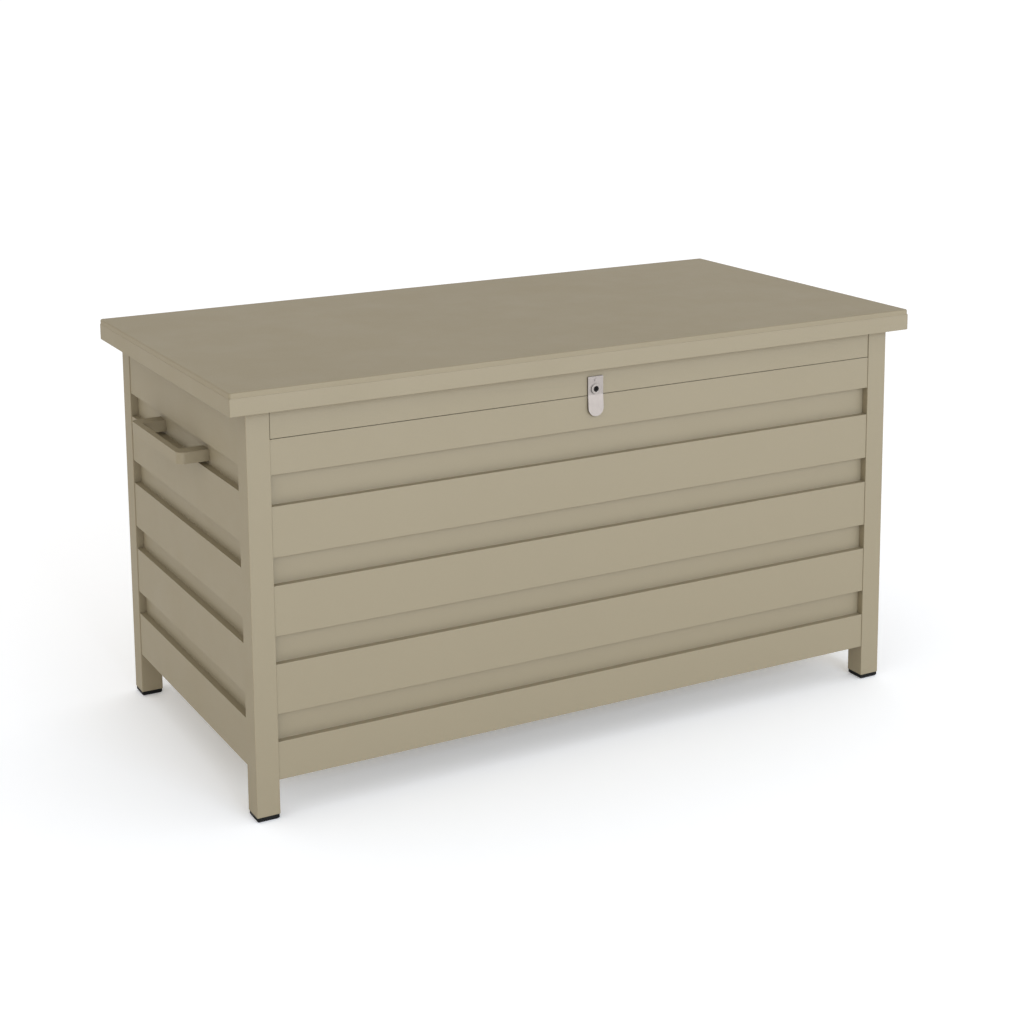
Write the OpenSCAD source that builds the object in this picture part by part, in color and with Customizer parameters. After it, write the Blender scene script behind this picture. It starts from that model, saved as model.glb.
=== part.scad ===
// Aluminium deck storage box with a hinged lid, two end handles and a cam lock.
// Origin: the ground under the middle of the box. +X along the length, +Y to the back, +Z up.

/* [Overall] */
// Length of the box across the corner posts
body_w = 1266; // [1100:1:1500]
// Depth of the box across the corner posts
body_d = 640; // [560:1:720]
// Height from the ground to the top of the lid
total_h = 718; // [700:1:760]

/* [Lid] */
// Height of the lid's edge
lid_t = 38; // [36:1:44]
// Lid overhang past the posts at each end
end_overhang = 33; // [30:1:36]
// Lid overhang past the posts at the front and the back
long_overhang = 22; // [21:1:26]
// Height of the folded edge of the top sheet
sheet_edge_h = 9; // [6:1:12]
// Width of the lid's edge tubes
rim_w = 50; // [46:1:52]
// Gap between the lid and the posts
lid_gap = 2; // [2:0.1:3]

/* [Posts and feet] */
// Width of the square corner posts
post_w = 40; // [38:1:44]
// How far the posts stand proud of the plank faces
post_proud = 1.5; // [1:0.1:3]
// Height of the feet below the posts
foot_h = 8.5; // [6:0.5:12]
// Width of the feet
foot_w = 38; // [36:0.5:38]

/* [Front wall] */
// Depth of the joint between the apron and the first plank, below the lid top
seam_drop = 87; // [84:0.5:90]
// Width of that joint
seam_gap = 1; // [0.8:0.1:3]
// Depth of the first front plank's lower edge below the lid top
front_first_drop = 145.2; // [140:0.1:150]
// Depth of the second front plank's upper edge below the lid top
front_second_drop = 196.6; // [190:0.1:200]
// Spacing of the front planks
front_pitch = 130.4; // [126:0.1:134]
// Face height of the front planks
front_face = 83.5; // [80:0.1:88]
// Depth of the front wall's lower edge below the lid top
front_low_drop = 652; // [645:0.5:658]

/* [End walls] */
// Depth of the second end plank's upper edge below the lid top
end_second_drop = 175; // [173:0.5:178]
// Spacing of the end planks
end_pitch = 126.2; // [125:0.1:127.5]
// Face height of the end planks
end_face = 83; // [80:0.1:84]
// Depth of the end walls' lower edge below the lid top
end_low_drop = 634; // [628:0.5:640]

/* [Planks] */
// Thickness of a plank
plank_t = 14.5; // [13:0.5:18]
// Wall thickness of the hollow profiles
skin = 1.5; // [1.2:0.1:2]

/* [Handles] */
// Length of a handle along the end wall
handle_l = 256; // [200:1:300]
// How far a handle stands out from the plank faces
handle_out = 42; // [36:0.5:48]
// Height of a handle
handle_h = 20; // [16:0.5:22]
// Depth of a handle's upper side below the lid top
handle_drop = 148.5; // [147:0.5:151]
// Place of a handle's middle from front to back
handle_y = 21; // [-30:1:30]

/* [Lock] */
// Width of the lock plate
lock_w = 30; // [26:1:36]
// Depth of the lock plate's upper edge below the lid top
lock_top_drop = 54; // [50:0.5:58]
// Depth of the lock plate's lower end below the lid top
lock_low_drop = 123.5; // [118:0.5:130]
// Depth of the lock cylinder's axis below the lid top
lock_axis_drop = 76; // [74:0.5:78]

/* [Hinges] */
// Distance of each hinge from the middle
hinge_x = 420; // [300:1:500]
// Length of a hinge
hinge_l = 90; // [60:1:120]

/* [Floor] */
// Height of the floor panel's underside above the ground
floor_z = 92; // [88:1:100]
// Thickness of the floor panel
floor_t = 2; // [2:0.5:5]

/* [Hidden] */
WALLS = ["front", "back", "left", "right"];
SIDES = ["left", "right"];
POSTS = ["front_left", "front_right", "rear_left", "rear_right"];
PLANKS = [1:5];

coat = [0.67, 0.63, 0.55];
steel = [0.76, 0.73, 0.7];
dark = [0.08, 0.08, 0.08];
grey = [0.45, 0.45, 0.46];
$fn = 48;
cut = 1;
mate_gap = 0.3;

// Levels, measured up from the ground
post_top = total_h - lid_t - lid_gap;
lid_low = total_h - lid_t;
rim_top = total_h - sheet_edge_h;
seam_z = total_h - seam_drop;
apron_low = seam_z + seam_gap / 2;

// Half spans
lid_hx = body_w / 2 + end_overhang;
lid_hy = body_d / 2 + long_overhang;
inner_hx = body_w / 2 - post_proud - plank_t;
inner_hy = body_d / 2 - post_proud - plank_t;
bay_hx = body_w / 2 - post_w;
bay_hy = body_d / 2 - post_w;
face_hx = body_w / 2 - post_proud;
face_hy = body_d / 2 - post_proud;

// Plank profile
tongue_t = 2;
tongue_overlap = 7;
groove_h = 9;
lip_t = plank_t - tongue_t;

// Posts and feet
post_wall = 2;
foot_chamfer = 2.5;
foot_stem_h = 18;
stem_play = 0.4;
bumper_r = 12;
bumper_gap = 0.3;

// Lid
sheet_t = 2;
sheet_corner = 5;
sheet_round = 2.5;
pocket_inset = 14;
brace_w = 30;
brace_h = 26;
brace_x = 300;
apron_t = 20;
apron_side_gap = 0.8;

// Floor
ledge_w = 20;
ledge_t = 2;
beam_w = 30;
beam_h = 18;
beam_x = 210;
floor_play = 0.5;

// Rear top rail
rail_t = 20;
rail_h = 40;

// Handles
handle_leg = 30;
handle_grip = 11;
handle_corner = 13;

// Hinges
leaf_t = 2.5;
knuckle_r = 4.7;
pin_r = 2.5;
pin_play = 0.05;
hinge_setback = 5.5;
hinge_drop = 7.5;
hinge_y = body_d / 2 + hinge_setback;
hinge_z = lid_low - hinge_drop;
leaf_low = 55;
leaf_step = 6.5;
knuckle_l = hinge_l / 3;
lid_leaf_reach = 4;
lid_leaf_inset = 1;
lid_leaf_front = hinge_y - lid_leaf_reach;
lid_leaf_back = lid_hy - lid_leaf_inset;
hinge_screw_inset = 12;
hinge_screw_z = [-42, -20];

// Gas struts: their two pivots with the lid closed, measured back and up from the hinge axis
strut_low = [-220, -180];
strut_high = [-80, 20];
strut_inset = 15;
strut_x = inner_hx - strut_inset;
low_pivot = [hinge_y + strut_low[0], hinge_z + strut_low[1]];
high_pivot = [hinge_y + strut_high[0], hinge_z + strut_high[1]];
strut_run = high_pivot - low_pivot;
strut_len = norm(strut_run);
strut_tilt = atan2(strut_run[1], strut_run[0]);
strut_tube_r = 9;
strut_bore_r = 7.6;
strut_rod_r = 4;
strut_tube_start = 16;
strut_tube_end = 150;
strut_guide = 8;
piston_start = 34;
piston_l = 8;
piston_r = 7.5;
eye_r = 8;
eye_w = 10;
neck_r = 4.6;
neck_start = 6;
stud_r = 4;
stud_collar_r = 6;
stud_cap_r = 5.5;
stud_cap_t = 1.6;
bracket_t = 3;
box_plate_w = 34;
box_plate_h = 44;
box_plate_screw_z = 15;
lid_plate_w = 52;
lid_plate_h = 24;
lid_plate_screw_y = 18;

// Lock
plate_t = 3;
plate_bend_rise = 1;
plate_bend_z = seam_z + plate_bend_rise;
plate_bend = 4;
plate_out = 12;
rivet_drop = 6.5;
lock_z = total_h - lock_axis_drop;
lock_top = total_h - lock_top_drop;
lock_low = total_h - lock_low_drop;
bezel_r = 9;
bezel_t = 2;
barrel_r = 7;
barrel_play = 0.1;
barrel_reach = 6.5;
barrel_end = -face_hy + apron_t + barrel_reach;
nut_r = 10.4;
nut_t = 4;
plug_r = 5;
plug_play = 0.05;
plug_recess = 0.6;
key_w = 1.8;
key_h = 7;
key_depth = 6;
cam_t = 3;
cam_w = 12;
cam_l = 28;
cam_hub_r = 7;
cam_shaft_r = 3;
cam_play = 0.4;
cam_front = barrel_end + cam_play;
cam_screw_r = 4.5;
cam_screw_t = 2.4;
lock_front = -face_hy - plate_t;

// Lock keeper
keeper_x = 14;
keeper_w = 22;
keeper_t = 2;
keeper_foot = 30;
keeper_step = 2;
keeper_depth = 8.7;
keeper_back = -inner_hy + keeper_depth;
keeper_drop = 4;
keeper_step_z = seam_z - keeper_drop;
keeper_tab = 12.8;
keeper_rise = 9;
keeper_tab_z = lock_z + keeper_rise;
keeper_screw_inset = 6;
keeper_screw_drop = 20;

// Screws
screw_r = 4;
screw_h = 1.6;
socket_r = 1.9;
small_screw_r = 2.6;
small_screw_h = 0.9;

// The heights of plank i of a wall: [lower edge, upper edge], plank 1 at the top
function front_span(i) =
    i == 1 ? [total_h - front_first_drop, seam_z - seam_gap / 2] :
    i == 5 ? [total_h - front_low_drop, plank_top(front_second_drop, front_pitch, i)] :
    [plank_top(front_second_drop, front_pitch, i) - front_face, plank_top(front_second_drop, front_pitch, i)];
function back_span(i) = i == 1 ? [total_h - front_first_drop, post_top] : front_span(i);
function end_span(i) =
    i == 1 ? [plank_top(end_second_drop, end_pitch, 1) - end_face, post_top] :
    i == 5 ? [total_h - end_low_drop, plank_top(end_second_drop, end_pitch, i)] :
    [plank_top(end_second_drop, end_pitch, i) - end_face, plank_top(end_second_drop, end_pitch, i)];
function plank_top(second_drop, pitch, i) = total_h - second_drop - (i - 2) * pitch;
function wall_span(wall, i) =
    wall == "front" ? front_span(i) :
    wall == "back" ? back_span(i) :
    end_span(i);
function is_long(wall) = wall == "front" || wall == "back";
function wall_turn(wall) = wall == "front" ? 0 : wall == "left" ? -90 : wall == "back" ? 180 : 90;
function side_sign(side) = side == "left" ? -1 : 1;

// A box centred on X and Y that stands on z = 0
module block(size) {
    translate([-size[0] / 2, -size[1] / 2, 0])
        cube(size);
}

// A box between two opposite corners
module span_box(low, high) {
    translate(low)
        cube(high - low);
}

// A cylinder along +Y from y0 to y1
module rod_y(r, y0, y1) {
    translate([0, y0, 0])
        rotate([-90, 0, 0])
            cylinder(r = r, h = y1 - y0);
}

// A cylinder along X, centred on the origin
module rod_x(r, length) {
    rotate([0, 90, 0])
        cylinder(r = r, h = length, center = true);
}

// Moves children from the front wall's place to any wall's place
module on_wall(turn, half_span) {
    rotate([0, 0, turn])
        translate([0, -half_span, 0])
            children();
}

// Square corner tube with a welded top, closed below by a plastic foot
module corner_post(sx, sy) {
    post_h = post_top - foot_h;
    bore_w = post_w - 2 * post_wall;
    color(coat)
        translate([sx * (body_w - post_w) / 2, sy * (body_d - post_w) / 2, foot_h])
            difference() {
                block([post_w, post_w, post_h]);
                translate([0, 0, -cut])
                    block([bore_w, bore_w, post_h - post_wall + cut]);
            }
}

// Foot pad with a chamfered lower edge and a stem that plugs into the post
module foot_side() {
    half = foot_w / 2;
    rotate([90, 0, 0])
        linear_extrude(foot_w, center = true)
            polygon([
                [-half + foot_chamfer, 0],
                [half - foot_chamfer, 0],
                [half, foot_chamfer],
                [half, foot_h],
                [-half, foot_h],
                [-half, foot_chamfer]
            ]);
}

module post_foot(sx, sy) {
    stem_w = post_w - 2 * post_wall - stem_play;
    color(dark)
        translate([sx * (body_w - post_w) / 2, sy * (body_d - post_w) / 2, 0]) {
            intersection() {
                foot_side();
                rotate([0, 0, 90])
                    foot_side();
            }
            translate([0, 0, foot_h - cut])
                block([stem_w, stem_w, foot_stem_h + cut]);
        }
}

// Cross-section of a plank: x is the depth behind the face and y the height above its lower edge.
// A tongue at the top rises behind the plank above, whose groove it enters.
module plank_section(face_h, tongue_h, groove) {
    lip = groove ? lip_t : plank_t;
    step = groove ? groove_h : 0;
    top = tongue_h > 0 ?
        [[plank_t, face_h + tongue_h], [lip_t, face_h + tongue_h], [lip_t, face_h]] :
        [[plank_t, face_h]];
    low = groove ? [[lip, 0], [lip, step], [plank_t, step]] : [[plank_t, 0]];
    inner_low = groove ?
        [[lip - skin, skin], [lip - skin, step + skin], [plank_t - skin, step + skin]] :
        [[plank_t - skin, skin]];
    difference() {
        polygon(concat([[0, 0]], low, top, [[0, face_h]]));
        polygon(concat([[skin, skin]], inner_low, [[plank_t - skin, face_h - skin], [skin, face_h - skin]]));
    }
}

module wall_plank(wall, i) {
    span = wall_span(wall, i);
    above = i > 1 ? wall_span(wall, i - 1)[0] : 0;
    tongue_h = i > 1 ? above - span[1] + tongue_overlap : 0;
    length = 2 * (is_long(wall) ? bay_hx : bay_hy);
    color(coat)
        on_wall(wall_turn(wall), is_long(wall) ? face_hy : face_hx)
            translate([-length / 2, 0, span[0]])
                rotate([90, 0, 90])
                    linear_extrude(length)
                        plank_section(span[1] - span[0], tongue_h, i < 5);
}

// Tube between the rear posts, behind the top of the back wall
module rear_top_rail() {
    length = 2 * bay_hx;
    color(coat)
        translate([0, inner_hy - rail_t / 2, post_top - rail_h])
            difference() {
                block([length, rail_t, rail_h]);
                translate([0, 0, skin])
                    block([length + 2 * cut, rail_t - 2 * skin, rail_h - 2 * skin]);
            }
}

// Angles along the front and back walls that carry the floor
module floor_ledges() {
    length = 2 * bay_hx;
    color(coat)
        for (turn = [0, 180])
            on_wall(turn, inner_hy)
                translate([-length / 2, 0, floor_z - ledge_w])
                    difference() {
                        cube([length, ledge_w, ledge_w]);
                        translate([-cut, ledge_t, -cut])
                            cube([length + 2 * cut, ledge_w, ledge_w - ledge_t + cut]);
                    }
}

// Cross tubes under the middle of the floor
module floor_beams() {
    length = 2 * (inner_hy - ledge_w);
    color(coat)
        for (sx = [-1, 1])
            translate([sx * beam_x, 0, floor_z - beam_h])
                difference() {
                    block([beam_w, length, beam_h]);
                    translate([0, 0, skin])
                        block([beam_w - 2 * skin, length + 2 * cut, beam_h - 2 * skin]);
                }
}

module floor_panel() {
    color(coat)
        translate([0, 0, floor_z])
            union() {
                block([2 * (bay_hx - floor_play), 2 * (inner_hy - floor_play), floor_t]);
                block([2 * (inner_hx - floor_play), 2 * (bay_hy - floor_play), floor_t]);
            }
}

// Rubber pads on the posts, under the lid's edge
module lid_bumpers() {
    color(dark)
        for (sx = [-1, 1])
            for (sy = [-1, 1])
                translate([sx * (body_w - post_w) / 2, sy * (body_d - post_w) / 2, post_top])
                    cylinder(r = bumper_r, h = lid_gap - bumper_gap);
}

// Plan of a handle: x points away from the wall and y runs along it.
// The legs reach into the recess between two planks.
module handle_plan() {
    half = handle_l / 2;
    reach = handle_out + lip_t;
    difference() {
        union() {
            translate([0, -half])
                square([reach - handle_corner, handle_l]);
            translate([0, -half + handle_corner])
                square([reach, handle_l - 2 * handle_corner]);
            for (sy = [-1, 1])
                translate([reach - handle_corner, sy * (half - handle_corner)])
                    circle(r = handle_corner);
        }
        translate([-cut, -half + handle_leg])
            square([reach - handle_grip + cut, handle_l - 2 * handle_leg]);
    }
}

module end_handle(side) {
    color(coat)
        translate([side_sign(side) * (face_hx - lip_t), handle_y, total_h - handle_drop - handle_h])
            mirror([side == "left" ? 1 : 0, 0, 0])
                linear_extrude(handle_h)
                    handle_plan();
}

// Hinge leaves screwed to the outside of the back wall, with two knuckles each
module hinge_box_leaves() {
    color(steel)
        for (sx = [-1, 1])
            translate([sx * hinge_x, hinge_y, hinge_z])
                difference() {
                    union() {
                        span_box(
                            [-hinge_l / 2, face_hy - hinge_y, -leaf_low],
                            [hinge_l / 2, face_hy - hinge_y + leaf_t, -leaf_step]);
                        for (k = [-1, 1])
                            translate([k * knuckle_l, 0, 0]) {
                                rod_x(knuckle_r, knuckle_l);
                                span_box(
                                    [-knuckle_l / 2, face_hy - hinge_y, -leaf_step],
                                    [knuckle_l / 2, 0, 0]);
                            }
                    }
                    rod_x(pin_r, hinge_l + 2 * cut);
                    translate([0, 0, -leaf_step])
                        span_box(
                            [-hinge_l / 2 - cut, face_hy - hinge_y + leaf_t, -cut],
                            [hinge_l / 2 + cut, 0, leaf_step - knuckle_r]);
                }
}

// Hinge leaves under the lid's back edge, with one knuckle each
module hinge_lid_leaves() {
    color(steel)
        for (sx = [-1, 1])
            translate([sx * hinge_x, hinge_y, hinge_z])
                difference() {
                    union() {
                        span_box(
                            [-hinge_l / 2, lid_leaf_front - hinge_y, lid_low - leaf_t - hinge_z],
                            [hinge_l / 2, lid_leaf_back - hinge_y, lid_low - hinge_z]);
                        rod_x(knuckle_r, knuckle_l - 2 * mate_gap);
                        translate([-knuckle_l / 2 + mate_gap, -knuckle_r, 0])
                            cube([knuckle_l - 2 * mate_gap, 2 * knuckle_r, lid_low - hinge_z]);
                    }
                    rod_x(pin_r + pin_play, hinge_l + 2 * cut);
                }
}

module hinge_pins() {
    color(steel)
        for (sx = [-1, 1])
            translate([sx * hinge_x, hinge_y, hinge_z]) {
                rod_x(pin_r, hinge_l);
                for (end = [-1, 1])
                    translate([end * (hinge_l / 2 + pin_r / 2), 0, 0])
                        rod_x(knuckle_r - 1, pin_r);
            }
}

// Places a strut's parts: x across the strut, y along it from the lower pivot
module strut_place(side) {
    translate([side_sign(side) * strut_x, low_pivot[0], low_pivot[1]])
        rotate([strut_tilt, 0, 0])
            children();
}

module strut_cylinder(side) {
    color(dark)
        strut_place(side)
            difference() {
                union() {
                    rod_y(strut_tube_r, strut_tube_start, strut_tube_end);
                    rod_y(neck_r, neck_start, strut_tube_start + cut);
                    rod_x(eye_r, eye_w);
                }
                rod_x(stud_r + pin_play, eye_w + 2 * cut);
                rod_y(strut_bore_r, strut_tube_start + strut_guide, strut_tube_end - strut_guide);
                rod_y(strut_rod_r + pin_play, strut_tube_end - strut_guide - cut, strut_tube_end + cut);
            }
}

module strut_rod(side) {
    color(grey)
        strut_place(side) {
            rod_y(strut_rod_r, piston_start, strut_len - neck_start);
            rod_y(piston_r, piston_start, piston_start + piston_l);
            rod_y(neck_r, strut_len - 3 * neck_r, strut_len - neck_start);
            translate([0, strut_len, 0])
                rod_x(eye_r, eye_w);
        }
}

// Plates on the end walls whose studs carry the struts' lower eyes
module strut_box_brackets() {
    color(steel)
        for (side = SIDES)
            translate([side_sign(side) * inner_hx, low_pivot[0], low_pivot[1]])
                mirror([side == "left" ? 0 : 1, 0, 0]) {
                    stud_reach = inner_hx - strut_x;
                    translate([0, -box_plate_w / 2, -box_plate_h / 2])
                        cube([bracket_t, box_plate_w, box_plate_h]);
                    rotate([0, 90, 0]) {
                        cylinder(r = stud_r, h = stud_reach + eye_w / 2 + mate_gap + stud_cap_t);
                        cylinder(r = stud_collar_r, h = stud_reach - eye_w / 2 - mate_gap);
                        translate([0, 0, stud_reach + eye_w / 2 + mate_gap])
                            cylinder(r = stud_cap_r, h = stud_cap_t);
                    }
                }
}

// Plates on the lid's side tubes whose studs meet the struts' upper eyes
module strut_lid_brackets() {
    rim_inner = lid_hx - rim_w;
    stud_reach = rim_inner - strut_x - eye_w / 2 - mate_gap;
    color(steel)
        for (side = SIDES)
            translate([side_sign(side) * rim_inner, high_pivot[0], high_pivot[1]])
                mirror([side == "left" ? 0 : 1, 0, 0]) {
                    translate([0, -lid_plate_w / 2, -lid_plate_h / 2])
                        cube([bracket_t, lid_plate_w, lid_plate_h]);
                    rotate([0, 90, 0])
                        cylinder(r = stud_r, h = stud_reach);
                }
}

// Edge of the top sheet: x runs outwards, and the upper corner is rounded
module sheet_profile() {
    square([sheet_corner - sheet_round, sheet_edge_h]);
    square([sheet_corner, sheet_edge_h - sheet_round]);
    translate([sheet_corner - sheet_round, sheet_edge_h - sheet_round])
        circle(r = sheet_round);
}

// One edge of the top sheet of the given length along X, whose outer side faces -Y
module sheet_edge(length) {
    rotate([0, 0, -90])
        rotate([90, 0, 0])
            linear_extrude(length, center = true)
                sheet_profile();
}

// Top sheet: its edge is folded down on the tubes, and the middle is thin
module lid_panel() {
    hx = lid_hx - sheet_corner;
    hy = lid_hy - sheet_corner;
    pocket_w = 2 * (lid_hx - pocket_inset);
    pocket_d = 2 * (lid_hy - pocket_inset);
    color(coat)
        difference() {
            translate([0, 0, rim_top])
                union() {
                    block([2 * hx, 2 * hy, sheet_edge_h]);
                    for (turn = [0, 180]) {
                        rotate([0, 0, turn])
                            translate([0, -hy, 0])
                                sheet_edge(2 * hx);
                        rotate([0, 0, turn + 90])
                            translate([0, -hx, 0])
                                sheet_edge(2 * hy);
                        rotate([0, 0, turn])
                            translate([hx, hy, 0])
                                rotate_extrude(angle = 90)
                                    sheet_profile();
                        rotate([0, 0, turn + 90])
                            translate([hy, hx, 0])
                                rotate_extrude(angle = 90)
                                    sheet_profile();
                    }
                }
            translate([0, 0, rim_top - cut])
                block([pocket_w, pocket_d, sheet_edge_h - sheet_t + cut]);
        }
}

// One mitred tube of the lid's edge: half is its half length and turn its side
module rim_tube(half, offset_y, turn) {
    rim_h = rim_top - lid_low;
    color(coat)
        rotate([0, 0, turn])
            translate([0, -offset_y, lid_low])
                difference() {
                    linear_extrude(rim_h)
                        mitre_plan(half, 0, rim_w);
                    translate([0, 0, skin])
                        linear_extrude(rim_h - 2 * skin)
                            mitre_plan(half, skin, rim_w - skin);
                }
}

// Strip with 45 degree ends, from y0 to y1 behind an outer edge of the given half length
module mitre_plan(half, y0, y1) {
    polygon([[-half + y0, y0], [half - y0, y0], [half - y1, y1], [-half + y1, y1]]);
}

module lid_rim_front() {
    rim_tube(lid_hx, lid_hy, 0);
}

module lid_rim_back() {
    rim_tube(lid_hx, lid_hy, 180);
}

module lid_rim_left() {
    rim_tube(lid_hy, lid_hx, -90);
}

module lid_rim_right() {
    rim_tube(lid_hy, lid_hx, 90);
}

// Cross tubes under the top sheet
module lid_braces() {
    length = 2 * (lid_hy - rim_w);
    color(coat)
        for (x = [-brace_x, 0, brace_x])
            translate([x, 0, total_h - sheet_t - brace_h])
                difference() {
                    block([brace_w, length, brace_h]);
                    translate([0, 0, skin])
                        block([brace_w - 2 * skin, length + 2 * cut, brace_h - 2 * skin]);
                }
}

// Front rail that hangs from the lid between the posts and carries the lock
module front_apron() {
    half = bay_hx - apron_side_gap;
    color(coat)
        translate([0, -face_hy, 0])
            difference() {
                span_box([-half, 0, apron_low], [half, apron_t, lid_low]);
                span_box(
                    [-half - cut, skin, apron_low + skin],
                    [half + cut, apron_t - skin, lid_low - skin]);
                translate([0, 0, lock_z])
                    rod_y(barrel_r + barrel_play, -cut, apron_t + cut);
            }
}

// Outline of the lock plate seen from the front, with a half round lower end
module lock_outline() {
    half = lock_w / 2;
    translate([-half, lock_low + half])
        square([lock_w, lock_top - lock_low - half]);
    translate([0, lock_low + half])
        circle(r = half);
}

// Side of the lock plate: the lower half leans out from the planks
module lock_side() {
    lean = (plate_bend_z - lock_low + cut) * tan(plate_bend);
    low = lock_low - cut;
    polygon([
        [0, lock_top],
        [-plate_t, lock_top],
        [-plate_t, plate_bend_z],
        [-plate_t - lean, low],
        [-lean, low],
        [0, plate_bend_z]
    ]);
}

// Stainless lock plate: its lower half bends out as a finger pull with a round end
module lock_plate() {
    color(steel)
        translate([0, -face_hy, 0])
            difference() {
                union() {
                    intersection() {
                        rotate([90, 0, 90])
                            linear_extrude(lock_w, center = true)
                                lock_side();
                        rotate([90, 0, 0])
                            linear_extrude(plate_out)
                                lock_outline();
                    }
                    translate([0, 0, lock_top - rivet_drop])
                        rod_y(small_screw_r, -plate_t - small_screw_h, -plate_t);
                }
                translate([0, 0, lock_z])
                    rod_y(barrel_r + barrel_play, -plate_out, cut);
            }
}

// Fixed barrel of the cam lock, with its front bezel and back nut
module lock_barrel() {
    color(steel)
        translate([0, 0, lock_z])
            difference() {
                union() {
                    rod_y(bezel_r, lock_front - bezel_t, lock_front);
                    rod_y(barrel_r, lock_front - cut, barrel_end);
                    translate([0, -face_hy + apron_t, 0])
                        rotate([-90, 0, 0])
                            cylinder(r = nut_r, h = nut_t, $fn = 6);
                }
                rod_y(plug_r + plug_play, lock_front - bezel_t - cut, barrel_end + cut);
            }
}

// Key plug, its shaft and the screw that holds the cam
module lock_plug() {
    front = lock_front - bezel_t + plug_recess;
    cam_back = cam_front + cam_t;
    color(dark)
        translate([0, 0, lock_z])
            difference() {
                union() {
                    rod_y(plug_r, front, barrel_end);
                    rod_y(cam_shaft_r, barrel_end - cut, cam_back);
                    rod_y(cam_screw_r, cam_back, cam_back + cam_screw_t);
                }
                span_box([-key_w / 2, front - cut, -key_h / 2], [key_w / 2, front + key_depth, key_h / 2]);
            }
}

// Cam that hangs down when open and swings under the keeper when locked
module lock_cam() {
    color(steel)
        translate([0, 0, lock_z])
            difference() {
                union() {
                    rod_y(cam_hub_r, cam_front, cam_front + cam_t);
                    span_box([-cam_w / 2, cam_front, -cam_l + cam_w / 2], [cam_w / 2, cam_front + cam_t, 0]);
                    translate([0, 0, -cam_l + cam_w / 2])
                        rod_y(cam_w / 2, cam_front, cam_front + cam_t);
                }
                rod_y(cam_shaft_r, cam_front - cut, cam_front + cam_t + cut);
            }
}

// Bracket behind the first front plank: its tab sits above the locked cam
module lock_keeper() {
    upright = keeper_back - keeper_t;
    step_low = keeper_step_z - keeper_step;
    tab_top = keeper_tab_z + keeper_t;
    color(steel)
        translate([keeper_x, 0, 0]) {
            span_box(
                [0, -inner_hy, keeper_step_z - keeper_foot],
                [keeper_w, -inner_hy + keeper_t, keeper_step_z]);
            span_box([0, -inner_hy, step_low], [keeper_w, keeper_back, keeper_step_z]);
            span_box([0, upright, step_low], [keeper_w, keeper_back, tab_top]);
            span_box([0, upright, keeper_tab_z], [keeper_w, upright + keeper_tab, tab_top]);
        }
}

// Button head with a hexagon socket, standing up along +Z from the surface it clamps
module screw_head() {
    difference() {
        cylinder(r = screw_r, h = screw_h);
        translate([0, 0, screw_h / 3])
            cylinder(r = socket_r, h = screw_h, $fn = 6);
    }
}

module box_screws() {
    color(steel) {
        for (sx = [-1, 1])
            for (x = [-hinge_l / 2 + hinge_screw_inset, hinge_l / 2 - hinge_screw_inset])
                for (z = hinge_screw_z)
                    translate([sx * hinge_x + x, face_hy + leaf_t, hinge_z + z])
                        rotate([-90, 0, 0])
                            screw_head();
        for (x = [keeper_screw_inset, keeper_w - keeper_screw_inset])
            translate([keeper_x + x, -inner_hy + keeper_t, keeper_step_z - keeper_screw_drop])
                rotate([-90, 0, 0])
                    screw_head();
        for (side = SIDES)
            for (z = [-box_plate_screw_z, box_plate_screw_z])
                translate([side_sign(side) * (inner_hx - bracket_t), low_pivot[0], low_pivot[1] + z])
                    rotate([0, -side_sign(side) * 90, 0])
                        screw_head();
        for (side = SIDES)
            for (sy = [-1, 1])
                translate([
                    side_sign(side) * inner_hx,
                    handle_y + sy * (handle_l - handle_leg) / 2,
                    total_h - handle_drop - handle_h / 2
                ])
                    rotate([0, -side_sign(side) * 90, 0])
                        screw_head();
    }
}

module lid_screws() {
    leaf_mid = (hinge_y + knuckle_r + lid_leaf_back) / 2;
    color(steel) {
        for (sx = [-1, 1])
            for (x = [-1, 0, 1])
                translate([sx * hinge_x + x * (hinge_l / 2 - hinge_screw_inset), leaf_mid, lid_low - leaf_t])
                    rotate([180, 0, 0])
                        screw_head();
        for (side = SIDES)
            for (y = [-lid_plate_screw_y, lid_plate_screw_y])
                translate([side_sign(side) * (lid_hx - rim_w - bracket_t), high_pivot[0] + y, high_pivot[1]])
                    rotate([0, -side_sign(side) * 90, 0])
                        screw_head();
    }
}

for (sx = [-1, 1]) for (sy = [-1, 1]) {
    corner = str(sy < 0 ? "front" : "rear", sx < 0 ? "_left" : "_right");
    corner_post(sx, sy);
    post_foot(sx, sy);
}
for (w = WALLS) for (i = PLANKS) {
    wall_plank(w, i);
}
for (s = SIDES) {
    end_handle(s);
    strut_cylinder(s);
    strut_rod(s);
}
rear_top_rail();
floor_ledges();
floor_beams();
floor_panel();
lid_bumpers();
hinge_box_leaves();
hinge_pins();
strut_box_brackets();
lock_keeper();
box_screws();
lid_panel();
lid_rim_front();
lid_rim_back();
lid_rim_left();
lid_rim_right();
lid_braces();
front_apron();
hinge_lid_leaves();
strut_lid_brackets();
lid_screws();
lock_plate();
lock_barrel();
lock_plug();
lock_cam();
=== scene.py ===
import math

import bpy
from mathutils import Matrix, Vector

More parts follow.
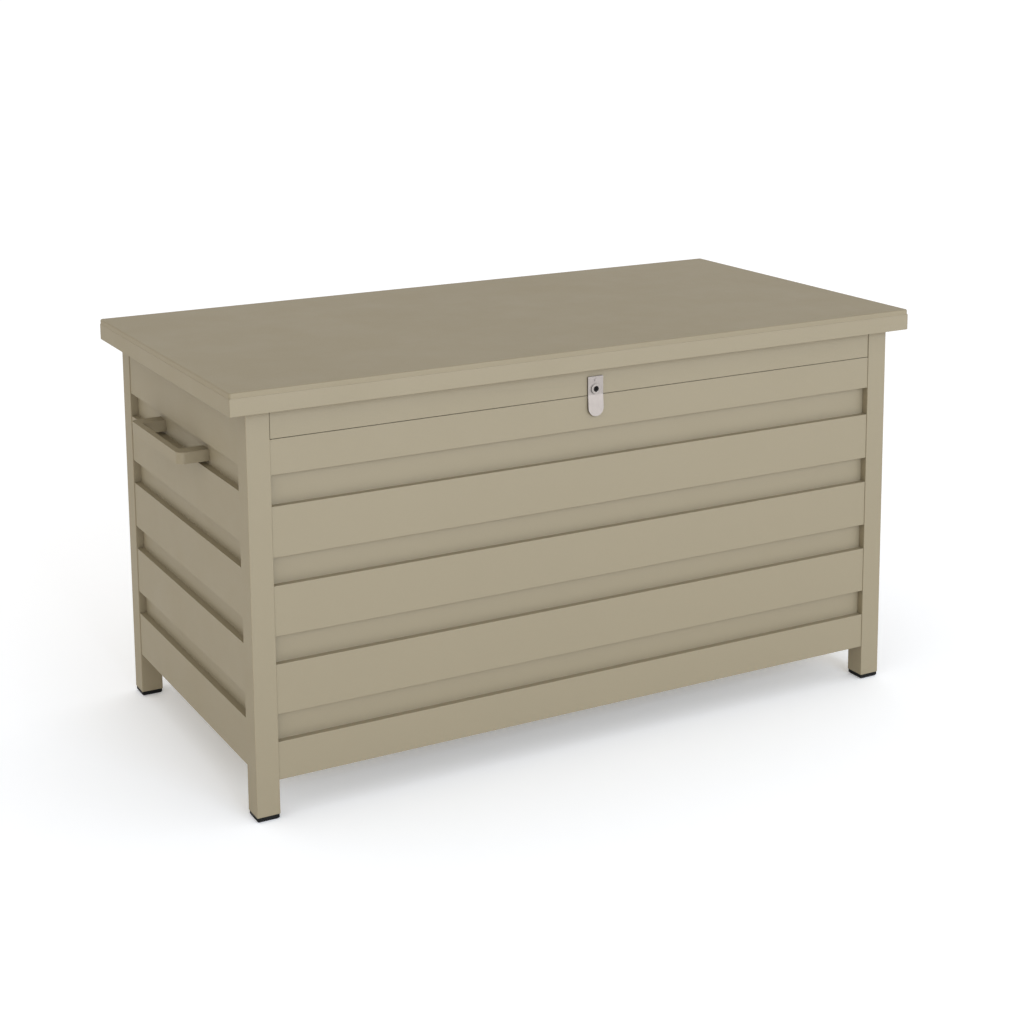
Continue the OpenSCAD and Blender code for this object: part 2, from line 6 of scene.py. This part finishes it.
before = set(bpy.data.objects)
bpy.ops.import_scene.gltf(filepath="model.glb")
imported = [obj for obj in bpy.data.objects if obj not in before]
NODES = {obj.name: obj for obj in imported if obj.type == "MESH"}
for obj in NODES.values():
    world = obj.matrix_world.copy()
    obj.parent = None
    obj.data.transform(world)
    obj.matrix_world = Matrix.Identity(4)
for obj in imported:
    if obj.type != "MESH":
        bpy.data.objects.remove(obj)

SCENE = bpy.context.scene
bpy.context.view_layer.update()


# ---------------------------------------------------------------- node helpers
SHADER_SAMPLES = 4  # of the bevel and occlusion nodes
EDGE_AGREEMENT = (0.995, 0.8)  # how far two normals agree on a flat and on a full edge
OPEN_SHARE = (0.95, 0.3)  # how much is open on a flat and deep in a corner


class Tree:
    """Short calls for building one material's node tree."""

    def __init__(self, name):
        self.material = bpy.data.materials.new(name)
        self.material.use_nodes = True
        self.nodes = self.material.node_tree.nodes
        self.links = self.material.node_tree.links
        self.nodes.clear()
        self.output = self.nodes.new("ShaderNodeOutputMaterial")
        self.shader = self.nodes.new("ShaderNodeBsdfPrincipled")
        self.links.new(self.shader.outputs["BSDF"], self.output.inputs["Surface"])
        self.place = self.nodes.new("ShaderNodeTexCoord").outputs["Object"]

    def set(self, name, value):
        self.shader.inputs[name].default_value = value

    def feed(self, name, socket):
        self.links.new(socket, self.shader.inputs[name])

    def stretched(self, scale):
        """Object coordinates with a factor per axis; the grain runs along the smaller ones."""
        mapping = self.nodes.new("ShaderNodeMapping")
        mapping.inputs["Scale"].default_value = scale
        self.links.new(self.place, mapping.inputs["Vector"])
        return mapping.outputs["Vector"]

    def noise(self, scale, detail, rough, vector=None):
        node = self.nodes.new("ShaderNodeTexNoise")
        node.inputs["Scale"].default_value = scale
        node.inputs["Detail"].default_value = detail
        node.inputs["Roughness"].default_value = rough
        self.links.new(vector or self.place, node.inputs["Vector"])
        return node.outputs["Fac"]

    def spread(self, socket, low, high, to_low=0.0, to_high=1.0):
        """The values from low to high mapped onto another span, and held inside it."""
        node = self.nodes.new("ShaderNodeMapRange")
        node.inputs["From Min"].default_value = low
        node.inputs["From Max"].default_value = high
        node.inputs["To Min"].default_value = to_low
        node.inputs["To Max"].default_value = to_high
        self.links.new(socket, node.inputs["Value"])
        return node.outputs["Result"]

    def pattern(self, scale, detail, rough, low, high, to_low=0.0, to_high=1.0, vector=None):
        """Noise whose values from low to high are mapped onto another span."""
        return self.spread(self.noise(scale, detail, rough, vector), low, high, to_low, to_high)

    def math(self, kind, a, b):
        node = self.nodes.new("ShaderNodeMath")
        node.operation = kind
        for i, x in enumerate((a, b)):
            if isinstance(x, (int, float)):
                node.inputs[i].default_value = x
            else:
                self.links.new(x, node.inputs[i])
        return node.outputs[0]

    def times(self, socket, factor):
        return self.math("MULTIPLY", socket, factor)

    def blend(self, amount, a, b):
        node = self.nodes.new("ShaderNodeMix")
        node.data_type = "RGBA"
        for name, x in (("Factor", amount), ("A", a), ("B", b)):
            socket = [s for s in node.inputs if s.name == name and s.enabled][0]
            if isinstance(x, tuple):
                socket.default_value = (*x, 1.0)
            else:
                self.links.new(x, socket)
        return [s for s in node.outputs if s.enabled][0]

    def layer(self, under, amount, share, colour):
        """A colour laid over a tone, at most by the share."""
        return self.blend(self.times(amount, share), under, colour)

    def bump(self, height, strength, distance, normal=None):
        node = self.nodes.new("ShaderNodeBump")
        node.inputs["Strength"].default_value = strength
        node.inputs["Distance"].default_value = distance
        self.links.new(height, node.inputs["Height"])
        if normal is not None:
            self.links.new(normal, node.inputs["Normal"])
        return node.outputs["Normal"]

    def edges(self, radius):
        """0 on flats and near 1 on edges that turn within the radius."""
        bevel = self.nodes.new("ShaderNodeBevel")
        bevel.samples = SHADER_SAMPLES
        bevel.inputs["Radius"].default_value = radius
        geometry = self.nodes.new("ShaderNodeNewGeometry")
        dot = self.nodes.new("ShaderNodeVectorMath")
        dot.operation = "DOT_PRODUCT"
        self.links.new(bevel.outputs["Normal"], dot.inputs[0])
        self.links.new(geometry.outputs["True Normal"], dot.inputs[1])
        return self.spread(dot.outputs["Value"], *EDGE_AGREEMENT)

    def cavity(self, distance):
        """0 in the open and near 1 deep in corners."""
        node = self.nodes.new("ShaderNodeAmbientOcclusion")
        node.samples = SHADER_SAMPLES
        node.inputs["Distance"].default_value = distance
        return self.spread(node.outputs["AO"], *OPEN_SHARE)


def shade(colour, factor):
    return tuple(c * factor for c in colour)


# ------------------------------------------------------------------- materials
# Base colours are linear. Reaches and depths are in metres, and noise scales are per metre.
COAT = (0.275, 0.226, 0.139)
# reach of the painted highlight along the coat's edges
COAT_EDGE_HIGHLIGHT_REACH = 0.0009
# reach of the painted shade in the coat's corners
COAT_CORNER_SHADE_REACH = 0.012

STAINLESS = (0.22, 0.199, 0.184)
PLATED = (0.52, 0.52, 0.51)
# Near black: the lock plug's colour is painted shade standing in for the dark inside the keyhole
LOCK_DARK = (0.012, 0.0115, 0.011)
CHROME = (0.72, 0.72, 0.73)
METAL_LINE_STRETCH = 0.03  # scale of the fine lines along their run
X_AXIS, Z_AXIS = 0, 2
METAL_WEAR_REACH = 0.0005
# reach of the painted shade in the metal's corners
METAL_CORNER_SHADE_REACH = 0.006
METAL_ROUGH_DROP, METAL_ROUGH_RISE = 0.05, 0.06

FOOT = (0.005, 0.005, 0.005)
RUBBER = (0.018, 0.018, 0.018)
DUST = (0.12, 0.11, 0.095)
PLASTIC_WEAR_REACH = 0.0008
PLASTIC_ROUGH_DROP, PLASTIC_ROUGH_RISE = 0.05, 0.08

STRUT_PAINT = (0.012, 0.012, 0.013)
SCUFF = (0.06, 0.06, 0.062)
SCUFF_STRETCH = (1.0, 0.2, 0.2)


def powder_coat(name, grain, gloss):
    """Soft clouds and fine specks of tone, a painted highlight along paler edges and painted
    shade darkening the corners.
    """
    t = Tree(name)
    clouds = t.pattern(scale=2.3, detail=4.0, rough=0.55, low=0.25, high=0.75)
    patches = t.pattern(scale=14.0, detail=3.0, rough=0.6, low=0.3, high=0.7)
    specks = t.pattern(scale=850.0, detail=2.0, rough=0.7, low=0.35, high=0.65)
    tone = t.blend(clouds, shade(COAT, factor=0.975), shade(COAT, factor=1.02))
    tone = t.layer(tone, patches, share=0.35, colour=shade(COAT, factor=1.015))
    tone = t.layer(tone, specks, share=0.16 * grain, colour=shade(COAT, factor=0.86))

    # painted highlight: the coat paler along its edges, broken up by noise, and a little less
    # rough there
    pale_edges = t.times(
        t.edges(COAT_EDGE_HIGHLIGHT_REACH),
        t.pattern(scale=60.0, detail=3.0, rough=0.7, low=0.35, high=0.6, to_low=0.15))
    tone = t.layer(tone, pale_edges, share=0.45, colour=shade(COAT, factor=1.22))
    # painted shade: the coat darker in corners and recesses found by the occlusion, broken up by
    # noise
    corner_shade = t.times(
        t.cavity(COAT_CORNER_SHADE_REACH),
        t.pattern(scale=35.0, detail=3.0, rough=0.6, low=0.3, high=0.7, to_low=0.35))
    tone = t.layer(tone, corner_shade, share=0.3, colour=shade(COAT, factor=0.55))
    t.feed("Base Color", tone)

    rough = t.pattern(
        scale=9.0, detail=4.0, rough=0.6, low=0.3, high=0.7, to_low=0.52, to_high=0.6)
    rough = t.math("ADD", rough, t.times(specks, factor=0.06))
    rough = t.math("SUBTRACT", rough, t.times(pale_edges, factor=0.08))
    t.feed("Roughness", rough)

    peel = t.noise(scale=330.0, detail=2.0, rough=0.5)
    peel = t.bump(peel, strength=0.12 * grain, distance=0.0004)
    fine = t.noise(scale=1500.0, detail=2.0, rough=0.6)
    t.feed("Normal", t.bump(fine, strength=0.2 * grain, distance=0.00012, normal=peel))
    t.set("IOR", 1.45)
    t.set("Specular IOR Level", gloss)
    return t.material


def brushed_metal(name, colour, along, rough, corner_shade_share):
    """Brushed or plated metal, its fine lines running along one axis, with painted shade in its
    corners.
    """
    t = Tree(name)
    stretch = [1.0, 1.0, 1.0]
    stretch[along] = METAL_LINE_STRETCH
    lines = t.noise(scale=2600.0, detail=3.0, rough=0.6, vector=t.stretched(stretch))
    cloud = t.noise(scale=40.0, detail=3.0, rough=0.6)
    streaks = t.spread(lines, low=0.3, high=0.7)
    tone = t.blend(streaks, shade(colour, factor=0.9), shade(colour, factor=1.06))
    stains = t.spread(cloud, low=0.4, high=0.7)
    tone = t.layer(tone, stains, share=0.25, colour=shade(colour, factor=0.85))
    pale_edges = t.edges(METAL_WEAR_REACH)
    tone = t.layer(tone, pale_edges, share=0.5, colour=shade(colour, factor=1.2))
    # painted shade: the metal darker in corners and recesses found by the occlusion, by the
    # given share
    corner_shade = t.cavity(METAL_CORNER_SHADE_REACH)
    tone = t.layer(tone, corner_shade, share=corner_shade_share, colour=shade(colour, factor=0.3))
    t.feed("Base Color", tone)

    broad = t.spread(
        cloud, low=0.3, high=0.7,
        to_low=rough - METAL_ROUGH_DROP, to_high=rough + METAL_ROUGH_RISE)
    fine = t.spread(lines, low=0.3, high=0.7, to_low=-0.03, to_high=0.05)
    t.feed("Roughness", t.math("ADD", broad, fine))
    t.feed("Normal", t.bump(lines, strength=0.12, distance=0.00008))
    t.set("Metallic", 1.0)
    return t.material


def plastic(name, colour, rough, grain, gloss):
    """Moulded plastic or rubber with scuffed edges and a little dust."""
    t = Tree(name)
    patches = t.pattern(scale=30.0, detail=4.0, rough=0.6, low=0.3, high=0.7)
    specks = t.pattern(scale=700.0, detail=2.0, rough=0.6, low=0.3, high=0.7)
    tone = t.blend(patches, shade(colour, factor=0.85), shade(colour, factor=1.15))
    pale_edges = t.edges(PLASTIC_WEAR_REACH)
    tone = t.layer(tone, pale_edges, share=0.5, colour=shade(colour, factor=2.2))
    dust = t.pattern(scale=90.0, detail=4.0, rough=0.7, low=0.5, high=0.75)
    tone = t.layer(tone, dust, share=0.07, colour=DUST)
    t.feed("Base Color", tone)

    broad = t.spread(
        patches, low=0.0, high=1.0,
        to_low=rough - PLASTIC_ROUGH_DROP, to_high=rough + PLASTIC_ROUGH_RISE)
    t.feed("Roughness", t.math("ADD", broad, t.times(specks, factor=0.05)))
    pores = t.noise(scale=900.0, detail=2.0, rough=0.6)
    t.feed("Normal", t.bump(pores, strength=0.25 * grain, distance=0.00025))
    t.set("Specular IOR Level", gloss)
    return t.material


def dark_paint(name):
    """The gas struts' black paint with long scuffs."""
    t = Tree(name)
    patches = t.pattern(scale=22.0, detail=3.0, rough=0.6, low=0.3, high=0.7)
    tone = t.blend(patches, shade(STRUT_PAINT, factor=0.85), shade(STRUT_PAINT, factor=1.3))
    scuffs = t.pattern(
        scale=180.0, detail=4.0, rough=0.75, low=0.62, high=0.72,
        vector=t.stretched(SCUFF_STRETCH))
    tone = t.layer(tone, scuffs, share=0.35, colour=SCUFF)
    t.feed("Base Color", tone)

    broad = t.spread(patches, low=0.0, high=1.0, to_low=0.3, to_high=0.4)
    t.feed("Roughness", t.math("ADD", broad, t.times(scuffs, factor=0.2)))
    peel = t.noise(scale=420.0, detail=2.0, rough=0.5)
    t.feed("Normal", t.bump(peel, strength=0.12, distance=0.0002))
    return t.material


# The lid's sheet has its own coat, a little smoother and duller than the walls'
MATERIALS = {
    "coat": powder_coat("powder_coat", grain=1.0, gloss=0.5),
    "coat_top": powder_coat("powder_coat_top", grain=0.8, gloss=0.36),
    "stainless": brushed_metal("satin_stainless", STAINLESS, along=Z_AXIS, rough=0.46, corner_shade_share=0.3),
    "plated": brushed_metal("plated_steel", PLATED, along=X_AXIS, rough=0.38, corner_shade_share=0.45),
    "lock_dark": brushed_metal("lock_dark", LOCK_DARK, along=X_AXIS, rough=0.4, corner_shade_share=0.5),
    "chrome": brushed_metal("strut_chrome", CHROME, along=Z_AXIS, rough=0.13, corner_shade_share=0.2),
    "foot": plastic("foot_plastic", FOOT, rough=0.6, grain=1.0, gloss=0.1),
    "rubber": plastic("bumper_rubber", RUBBER, rough=0.8, grain=1.6, gloss=0.5),
    "strut_paint": dark_paint("strut_black"),
}


def material_of(node):
    if node.startswith("foot_"):
        return "foot"
    if node == "lid_bumpers":
        return "rubber"
    if node in ("lock_plate", "lock_barrel"):
        return "stainless"
    # the near-black plug carries painted shade for the keyhole
    if node == "lock_plug":
        return "lock_dark"
    if node.startswith("strut_cylinder"):
        return "strut_paint"
    if node.startswith("strut_rod"):
        return "chrome"
    if node.startswith(("hinge_", "strut_", "lock_")) or node.endswith("_screws"):
        return "plated"
    return "coat_top" if node == "lid_panel" else "coat"


# ---------------------------------------------------------------- edge rounding
# What the node's name starts with, the bevel's width in metres and its segments; none at width 0
ROUNDING = (
    ("post_", 0.0012, 3),
    ("foot_", 0.0009, 2),
    ("handle_", 0.0008, 2),
    ("lid_panel", 0.0006, 2),
    ("lid_rim", 0.0008, 2),
    ("lid_braces", 0.0012, 2),
    ("front_apron", 0.0004, 2),
    ("front_plank_1", 0.0004, 2),
    ("lock_plate", 0.0005, 2),
    ("lock_barrel", 0.0004, 2),
    ("lock_plug", 0.0, 0),
    ("hinge_", 0.0003, 1),
    ("strut_cylinder", 0.0, 0),
    ("strut_rod", 0.0, 0),
    ("box_screws", 0.0002, 1),
    ("lid_screws", 0.0002, 1),
    ("lid_bumpers", 0.0004, 2),
)
PLANK_ROUNDING = (0.0006, 2)
OTHER_ROUNDING = (0.0004, 1)
BEVEL_ANGLE = math.radians(32)
WELD_DISTANCE = 0.000002


def rounding_of(node):
    for start, width, segments in ROUNDING:
        if node.startswith(start):
            return width, segments
    return PLANK_ROUNDING if "_plank_" in node else OTHER_ROUNDING


for name, obj in NODES.items():
    obj.data.materials.clear()
    obj.data.materials.append(MATERIALS[material_of(name)])
    weld = obj.modifiers.new("join", "WELD")
    weld.merge_threshold = WELD_DISTANCE
    width, segments = rounding_of(name)
    if width:
        bevel = obj.modifiers.new("rounded", "BEVEL")
        bevel.width = width
        bevel.segments = segments
        bevel.limit_method = "ANGLE"
        bevel.angle_limit = BEVEL_ANGLE
        bevel.use_clamp_overlap = True
        bevel.miter_outer = "MITER_ARC"
    normal = obj.modifiers.new("normals", "WEIGHTED_NORMAL")
    normal.keep_sharp = True


# ---------------------------------------------------------------------- studio
WHITE = (1.0, 1.0, 1.0)

FLOOR_HALF = 90.0
FLOOR_DARK = (0.93, 0.93, 0.93)
FLOOR_PALE = (0.95, 0.95, 0.95)
FLOOR_ROUGHNESS = 0.9
FLOOR_GLOW = 0.2  # keeps the floor white under the weak lights

WORLD_HORIZON = 1.0  # strength up to the height where the fade starts
WORLD_ZENITH = 0.8
WORLD_FADE_START = 0.25  # height on the unit sphere

# A weak cool light from the front
KEY_PLACE = (0.6, -8.0, 3.6)
KEY_TARGET = (0.0, 0.0, 0.3)
KEY_SIZE = (4.0, 3.0)
KEY_POWER = 245.0
KEY_COLOUR = (0.64, 0.78, 1.0)

# A broad panel in front that shows only as gloss
GLOSS_PLACE = (1.6, -5.2, 2.1)
GLOSS_TARGET = (1.6, 0.0, 1.4)
GLOSS_SIZE = (13.0, 3.8)
GLOSS_POWER = 740.0


def studio_floor():
    half = FLOOR_HALF
    corners = [(-half, -half, 0), (half, -half, 0), (half, half, 0), (-half, half, 0)]
    mesh = bpy.data.meshes.new("studio_floor")
    mesh.from_pydata(corners, [], [(0, 1, 2, 3)])
    floor = bpy.data.objects.new("studio_floor", mesh)
    SCENE.collection.objects.link(floor)
    t = Tree("studio_floor")
    cloud = t.noise(scale=0.6, detail=2.0, rough=0.5)
    t.feed("Base Color", t.blend(cloud, FLOOR_DARK, FLOOR_PALE))
    t.set("Roughness", FLOOR_ROUGHNESS)
    t.set("Specular IOR Level", 0.0)
    t.set("Emission Color", (*WHITE, 1.0))
    t.set("Emission Strength", FLOOR_GLOW)
    mesh.materials.append(t.material)


def studio_world():
    """White all round, a little dimmer overhead."""
    world = bpy.data.worlds.new("studio")
    SCENE.world = world
    world.use_nodes = True
    nodes, links = world.node_tree.nodes, world.node_tree.links
    back = nodes["Background"]
    back.inputs["Color"].default_value = (*WHITE, 1.0)
    place = nodes.new("ShaderNodeTexCoord")
    split = nodes.new("ShaderNodeSeparateXYZ")
    fade = nodes.new("ShaderNodeMapRange")
    links.new(place.outputs["Generated"], split.inputs["Vector"])
    links.new(split.outputs["Z"], fade.inputs["Value"])
    fade.inputs["From Min"].default_value = WORLD_FADE_START
    fade.inputs["From Max"].default_value = 1.0
    fade.inputs["To Min"].default_value = WORLD_HORIZON
    fade.inputs["To Max"].default_value = WORLD_ZENITH
    links.new(fade.outputs["Result"], back.inputs["Strength"])


def softbox(name, place, target, size, power, colour, gloss_only=False):
    light = bpy.data.lights.new(name, "AREA")
    light.shape = "RECTANGLE"
    light.size, light.size_y = size
    light.energy = power
    light.color = colour
    obj = bpy.data.objects.new(name, light)
    SCENE.collection.objects.link(obj)
    obj.location = place
    obj.rotation_mode = "QUATERNION"
    obj.rotation_quaternion = (Vector(target) - Vector(place)).to_track_quat("-Z", "Y")
    obj.visible_camera = False
    obj.visible_diffuse = not gloss_only


studio_floor()
studio_world()
softbox("key", KEY_PLACE, KEY_TARGET, KEY_SIZE, KEY_POWER, KEY_COLOUR)
softbox("gloss", GLOSS_PLACE, GLOSS_TARGET, GLOSS_SIZE, GLOSS_POWER, WHITE, gloss_only=True)


# ---------------------------------------------------------------------- camera
# Solved from the box's edges in the photograph
CAMERA_PLACE = (-1.6194, -3.0050, 1.3856)
CAMERA_RIGHT = (0.87804729, -0.47852043, -0.00715163)
CAMERA_UP = (0.08387006, 0.13914823, 0.98671353)
CAMERA_AHEAD = (0.47116745, 0.86698095, -0.16231226)
CAMERA_LENS = 66.004
CAMERA_SENSOR = 36.0
CAMERA_SHIFT = (0.0, -0.24854)
CAMERA_REACH = 400.0


def photo_camera():
    camera = bpy.data.cameras.new("camera")
    camera.sensor_width = CAMERA_SENSOR
    camera.lens = CAMERA_LENS
    camera.shift_x, camera.shift_y = CAMERA_SHIFT
    camera.clip_end = CAMERA_REACH
    camera.dof.use_dof = False
    obj = bpy.data.objects.new("camera", camera)
    SCENE.collection.objects.link(obj)
    axes = Matrix((Vector(CAMERA_RIGHT), Vector(CAMERA_UP), -Vector(CAMERA_AHEAD)))
    obj.matrix_world = Matrix.Translation(CAMERA_PLACE) @ axes.transposed().to_4x4()
    SCENE.camera = obj


photo_camera()
SCENE.view_settings.view_transform = "Standard"
SCENE.view_settings.look = "None"
